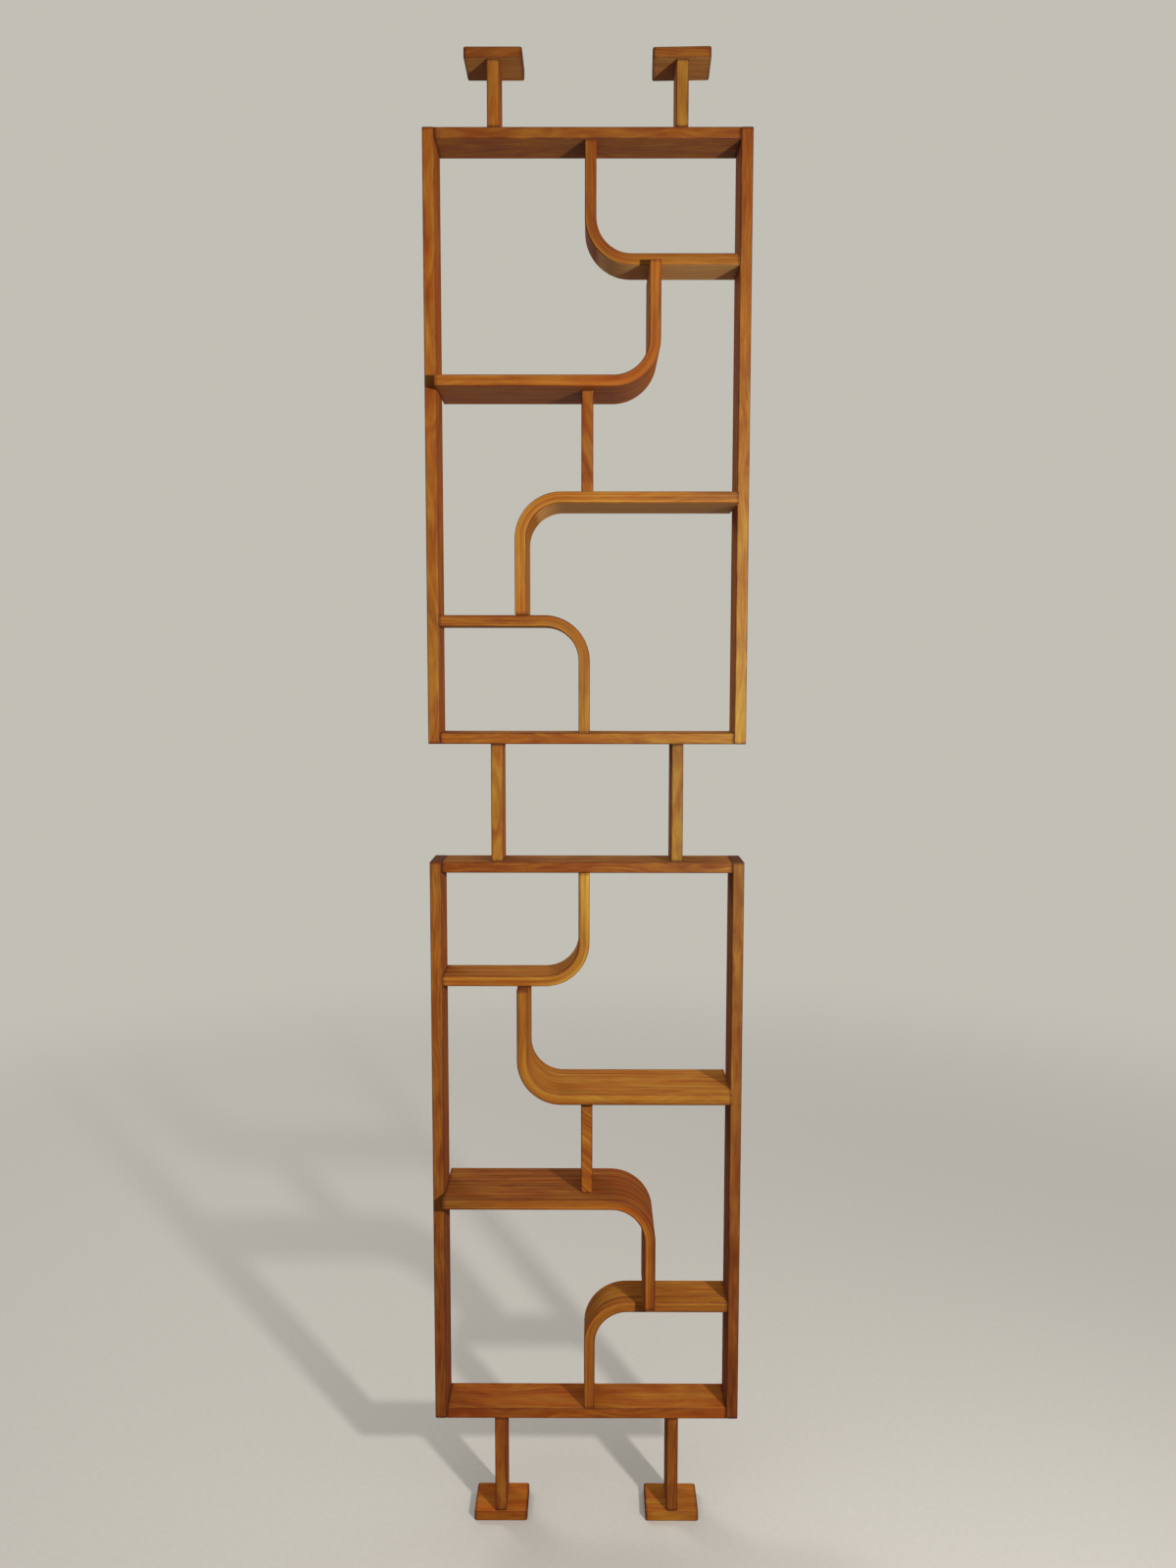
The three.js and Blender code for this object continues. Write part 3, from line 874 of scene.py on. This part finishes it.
# %% Straight timbers get their finish
def straight_finish(number, node, axis, tone, redness):
    low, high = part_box(node)
    centre, half = (low + high) / 2, (high - low) / 2
    if node.endswith("ceiling_post"):
        half.z -= tenon_reach / 2
        centre.z += tenon_reach / 2
    elif node.endswith("post"):
        half.z -= tenon_reach
    elif node.endswith("plate"):
        half = plate_half
    tilt = quarter_turn + slants.get(node, 0.0) if axis == "Z" else 0.0
    start = between_timbers * number

    def coordinates(tree):
        """The place along the grain, in the piece's own part of the tree, and the place from the
        middle of the piece and square to it."""
        squared = add(tree, "ShaderNodeMapping", vector_type="TEXTURE")
        feed(tree, squared.inputs["Vector"], coordinate(tree, "Object"))
        squared.inputs["Location"].default_value = centre
        squared.inputs["Rotation"].default_value = (0.0, 0.0, plate_turns.get(node, 0.0))
        turned = add(tree, "ShaderNodeMapping", vector_type="POINT")
        feed(tree, turned.inputs["Vector"], squared.outputs["Vector"])
        turned.inputs["Rotation"].default_value = (0.0, tilt, 0.0)
        turned.inputs["Location"].default_value = (start, 0.0, 0.0)
        return turned.outputs["Vector"], squared.outputs["Vector"]

    bearing = math.pi * (number % 2) + bearing_swing * math.sin(bearing_step * number)
    to_pith = nearest_pith + pith_step * (number % 4)
    half_length = half["XYZ".index(axis)]
    top = rail_top if node.endswith("rail") else plate_tops.get(node, (0.0, 0.0))
    return varnished(
        node,
        coordinates,
        half_size=half,
        stretch=(start - half_length, start + half_length),
        pith=(0.0, to_pith * math.cos(bearing), to_pith * math.sin(bearing)),
        tone=tone,
        redness=redness,
        shifts={"Side": painted_side_shade, "Top": top},
        end_faces=("Side",) if axis == "X" else ("Top", "Under"),
        contrast=contrasts.get(node, usual_contrast),
    )


def refinish(piece, paint):
    piece.data.materials.clear()
    piece.data.materials.append(paint)


for number, (node, (axis, tone, redness)) in enumerate(timbers.items()):
    refinish(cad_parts[node], straight_finish(number, node, axis, tone, redness))
finishes = [paint.name for paint in bpy.data.materials if paint.name.endswith("_finish")]
print("finishes so far:", len(finishes), "such as", finishes[0])

# %% [markdown]
# ## The layers of a bent board
# On the edges of a bent board the veneers show as fine lines that run round the bend. Each veneer
# took the stain a little differently, and a thin dark glue line lies between two of them. On the
# broad faces only the outer veneer is seen, with the fine lines of sliced beech.

# %% Group: pressed layers
veneer = 0.0024
bow_height = 0.0006
first_layer = 40.4
glue_start, glue_full = 0.40, 0.48
layer_group, given, result = new_tree(
    "pressed_layers",
    "ShaderNodeTree",
    [("Grain", VECTOR), ("Veneer", NUMBER, veneer), ("Batch", NUMBER, 0.0)],
    [("Shift", NUMBER), ("Glue Line", NUMBER)],
)
tree = layer_group
_, _, through = split(tree, given["Grain"])
bow = noise(tree, given["Grain"], (9.0, 9.0, 0.0), 1.0)
depth = nudge(tree, through, bow, bow_height)
level = calc(tree, "ADD", calc(tree, "DIVIDE", depth, given["Veneer"]), first_layer)
layer = calc(tree, "FLOOR", level)
lot = add(tree, "ShaderNodeTexWhiteNoise", noise_dimensions="2D")
feed(tree, lot.inputs["Vector"], merge(tree, layer, given["Batch"], 0.0))
feed(tree, result["Shift"], calc(tree, "SUBTRACT", lot.outputs["Value"], 0.5))
part_way = calc(tree, "ABSOLUTE", calc(tree, "SUBTRACT", calc(tree, "FRACT", level), 0.5))
feed(tree, result["Glue Line"], ramp(tree, part_way, glue_start, glue_full))
print("layer group:", len(tree.nodes), "nodes")


# %% The finish of a bent board
board_contrast = 0.45
broad_face = (0.0, 0.05)
no_end_line = 50.0
usual_slice, slice_contrast = 0.49, 0.8
layer_contrast = 0.26
glue_darkening, line_darkening = 0.12, 0.10
line_full, line_start = 0.34, 0.44
board_pith, pith_sidestep = 0.045, 0.012


def board_finish(number, node, depth, stretch, tone, redness):
    def coordinates(tree):
        noted = add(tree, "ShaderNodeAttribute", attribute_name="grain").outputs["Vector"]
        return noted, noted

    def layered(tree, run, tone):
        """The tone with the lines of sliced beech, the shades of the layers and the glue lines."""
        layers = placed(tree, layer_group, {"Grain": run, "Batch": number + 0.5})
        sliced = noise(tree, run, (3.0, 260.0, 40.0), 3.0, 0.6)
        swing = calc(tree, "SUBTRACT", sliced, usual_slice)
        dark_line = ramp(tree, sliced, line_full, line_start, 1.0, 0.0)
        tone = nudge(tree, tone, swing, slice_contrast)
        tone = nudge(tree, tone, dark_line, -line_darkening)
        tone = nudge(tree, tone, layers["Shift"], layer_contrast)
        return nudge(tree, tone, layers["Glue Line"], -glue_darkening)

    return varnished(
        node,
        coordinates,
        half_size=(no_end_line, depth / 2, half_board),
        stretch=stretch,
        pith=(0.0, pith_sidestep * (number % 3 - 1), board_pith + pith_step * (number % 2)),
        tone=tone,
        redness=redness,
        shifts={"Off Front": broad_face},
        contrast=board_contrast,
        last_touch=layered,
    )


print("layers in a board:", round(board_thickness / veneer))

# %% [markdown]
# ## Eight boards
# The lower unit is the upper one turned back to front, so its boards have their legs at the other
# side. The table says at which side the leg stands, 1 for left and -1 for right, and whether it
# points up, 1, or down, -1. Then come the tone and the redness at the shelf's end and at the leg's
# end. A tree makes each board lying down, with the crossing of shelf and leg at the origin. The
# board is stood up, turned to its own side and moved to its place.

# %% Make the eight boards
# A redness below zero is a painted highlight: it turns the front yellow where the lamp's sheen
# falls.
boards = {
    "upper_shelf_1": (1, 1, (0.41, 0.38), (0.05, 0.39)),
    "upper_shelf_2": (-1, 1, (0.54, 0.45), (0.34, 0.60)),
    "upper_shelf_3": (1, -1, (0.47, 0.67), (0.04, 0.08)),
    "upper_shelf_4": (-1, -1, (0.44, 0.43), (0.49, -0.23)),
    "lower_shelf_1": (-1, 1, (0.47, 0.72), (0.42, -0.64)),
    "lower_shelf_2": (1, 1, (0.42, 0.35), (-0.12, -0.02)),
    "lower_shelf_3": (-1, -1, (0.40, 0.41), (0.20, 0.52)),
    "lower_shelf_4": (1, -1, (0.38, 0.40), (0.17, 0.32)),
}
flips = {
    (1, 1): (0, "X"),
    (-1, 1): (math.pi, "Z"),
    (-1, -1): (math.pi, "Y"),
    (1, -1): (math.pi, "X"),
}
stand = Matrix.Rotation(quarter_turn, 4, "X")
between_boards = 3.1
saved_by_bend = (2 - quarter_turn) * (inside_bend + half_board)
for number, (node, (side, lift, tone, redness)) in enumerate(boards.items()):
    low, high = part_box(node)
    size = high - low
    start = between_boards * number
    stretch = (start, start + size.x + size.z - board_thickness - saved_by_bend)
    piece = grown(
        node + "_bent_board",
        board_tree,
        {
            "Across": size.x - half_board,
            "Rise": size.z - half_board,
            "Depth": size.y,
            "Thickness": board_thickness,
            "Inside Bend": inside_bend,
            "Arris": arris,
            "Figure Start": start,
            "Finish": board_finish(number, node, size.y, stretch, tone, redness),
        },
    )
    crossing = Vector((
        low.x + half_board if side > 0 else high.x - half_board,
        0.0,
        low.z + half_board if lift > 0 else high.z - half_board,
    ))
    turn, axis = flips[(side, lift)]
    piece.data.transform(Matrix.Translation(crossing) @ Matrix.Rotation(turn, 4, axis) @ stand)
    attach(piece, "divider")
    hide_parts(node)
    print(piece.name, len(piece.data.polygons), "faces")

# %% [markdown]
# ## Tongues, hidden in the joints
# Loose tongues of bare beech join the pieces. Nothing of them shows once the divider is together,
# but anyone who takes it apart sees them, so they get a plain bare finish with a fine fibre.

# %% Bare beech
darker_beech, lighter_beech = (0.56, 0.38, 0.22, 1), (0.72, 0.53, 0.34, 1)
sanded, furry = 0.6, 0.8
bare, tree, skin = new_paint("bare_beech")
figure = placed(tree, figure_group, {"Grain": coordinate(tree, "Object")})
colour = mix(tree, figure["Streaks"], darker_beech, lighter_beech)
feed(tree, skin.inputs["Base Color"], colour)
feed(tree, skin.inputs["Roughness"], ramp(tree, figure["Fibres"], 0.2, 0.8, sanded, furry))
tongues = [piece for node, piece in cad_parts.items() if node.endswith("tongue")]
for piece in tongues:
    refinish(piece, bare)
print("tongues:", len(tongues))

# %% [markdown]
# ## Threaded rods and bushes
# Each ceiling plate sits on a threaded rod that screws into a bush in the post. Turning the plate
# drives the rod out until the plate presses on the ceiling. A thread repeats one short profile
# along a helix, so Geometry Nodes sweep it, and a Boolean joins it to the core. The measures of the
# profile are shares of the pitch: how deep the thread is, how far it is sunk into the core so that
# the two can join, and how wide it is at its root and at its crest.

# %% The sizes of a thread
thread_pitch = 0.00125
rod_chamfer = 0.001
thread_depth, thread_sunk = 0.541, 0.1
root_width, crest_width = 0.96, 0.14
points_in_a_turn = 20
core_sides = 24
print("depth of the thread in mm:", round(1000 * thread_depth * thread_pitch, 3))

# %% The tree that cuts a thread
thread_tree, given, result = new_tree(
    "threaded_rod",
    "GeometryNodeTree",
    [
        ("Length", NUMBER, 0.082),
        ("Diameter", NUMBER, 0.008),
        ("Pitch", NUMBER, thread_pitch),
        ("Chamfer", NUMBER, rod_chamfer),
        ("Finish", "NodeSocketMaterial"),
    ],
    [("Rod", "NodeSocketGeometry")],
)
tree = thread_tree
crest = calc(tree, "MULTIPLY", given["Diameter"], 0.5)
bite = calc(tree, "MULTIPLY", given["Pitch"], thread_depth)
root = calc(tree, "SUBTRACT", crest, bite)
profile_height = calc(tree, "ADD", bite, calc(tree, "MULTIPLY", given["Pitch"], thread_sunk))
threaded = calc(tree, "SUBTRACT", given["Length"], calc(tree, "MULTIPLY", given["Chamfer"], 2.0))
threaded = calc(tree, "SUBTRACT", threaded, given["Pitch"])
helix = add(tree, "GeometryNodeCurveSpiral")
helix.inputs["Resolution"].default_value = points_in_a_turn
feed(tree, helix.inputs["Rotations"], calc(tree, "DIVIDE", threaded, given["Pitch"]))
mid_thread = calc(tree, "SUBTRACT", crest, calc(tree, "MULTIPLY", profile_height, 0.5))
feed(tree, helix.inputs["Start Radius"], mid_thread)
feed(tree, helix.inputs["End Radius"], mid_thread)
feed(tree, helix.inputs["Height"], threaded)
level_normals = add(tree, "GeometryNodeSetCurveNormal", mode="Z_UP")
feed(tree, level_normals.inputs["Curve"], helix.outputs[0])
ridge = add(tree, "GeometryNodeCurvePrimitiveQuadrilateral", mode="TRAPEZOID")
feed(tree, ridge.inputs["Height"], profile_height)
feed(tree, ridge.inputs["Bottom Width"], calc(tree, "MULTIPLY", given["Pitch"], root_width))
feed(tree, ridge.inputs["Top Width"], calc(tree, "MULTIPLY", given["Pitch"], crest_width))
ridge.inputs["Offset"].default_value = 0.0
outward = add(tree, "GeometryNodeTransform")
feed(tree, outward.inputs["Geometry"], ridge.outputs[0])
outward.inputs["Rotation"].default_value = (0.0, 0.0, -quarter_turn)
thread = add(tree, "GeometryNodeCurveToMesh")
feed(tree, thread.inputs["Curve"], level_normals.outputs[0])
feed(tree, thread.inputs["Profile Curve"], outward.outputs[0])
thread.inputs["Fill Caps"].default_value = True
print("nodes of the thread:", len(tree.nodes))

# %% The core of a rod, and both joined
raised = add(tree, "GeometryNodeTransform")
feed(tree, raised.inputs["Geometry"], thread.outputs[0])
lift_up = calc(tree, "ADD", given["Chamfer"], calc(tree, "MULTIPLY", given["Pitch"], 0.5))
feed(tree, raised.inputs["Translation"], merge(tree, 0.0, 0.0, lift_up))
core = add(tree, "GeometryNodeMeshCylinder", fill_type="NGON")
core.inputs["Vertices"].default_value = core_sides
feed(tree, core.inputs["Radius"], root)
feed(tree, core.inputs["Depth"], given["Length"])
centred = add(tree, "GeometryNodeTransform")
feed(tree, centred.inputs["Geometry"], core.outputs["Mesh"])
half_way = calc(tree, "MULTIPLY", given["Length"], 0.5)
feed(tree, centred.inputs["Translation"], merge(tree, 0.0, 0.0, half_way))
welded = add(tree, "GeometryNodeMeshBoolean", operation="UNION", solver="MANIFOLD")
for part in (centred, raised):
    tree.links.new(part.outputs[0], welded.inputs["Mesh 2"])
handed_over(tree, welded.outputs["Mesh"], given["Finish"], result["Rod"])
print("nodes in the rod's tree:", len(tree.nodes))

# %% [markdown]
# ## Zinc on the steel
# Rods and bushes are steel with a thin bright coat of zinc, which keeps rust away. The coat is
# uneven in its shine, so one fine noise varies its colour and its roughness.

# %% Zinc plated steel
bluish, silvery = (0.50, 0.52, 0.55, 1), (0.72, 0.72, 0.70, 1)
shiny, dull = 0.28, 0.45
zinc, tree, skin = new_paint("zinc_plated_steel")
patches = noise(tree, coordinate(tree, "Object"), 700.0, 3.0)
feed(tree, skin.inputs["Base Color"], mix(tree, patches, bluish, silvery))
skin.inputs["Metallic"].default_value = 1.0
feed(tree, skin.inputs["Roughness"], ramp(tree, patches, 0.3, 0.7, shiny, dull))
print("zinc:", len(tree.nodes), "nodes")

# %% Rods and bushes
for side in ("left", "right"):
    node = side + "_threaded_rod"
    low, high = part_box(node)
    rod = grown(
        side + "_cut_thread_rod",
        thread_tree,
        {
            "Length": high.z - low.z,
            "Diameter": high.x - low.x,
            "Pitch": thread_pitch,
            "Chamfer": rod_chamfer,
            "Finish": zinc,
        },
    )
    rod.data.transform(Matrix.Translation(((low.x + high.x) / 2, (low.y + high.y) / 2, low.z)))
    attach(rod, side + "_rod")
    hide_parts(node)
    refinish(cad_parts[side + "_threaded_bush"], zinc)
    print(rod.name, len(rod.data.polygons), "faces")
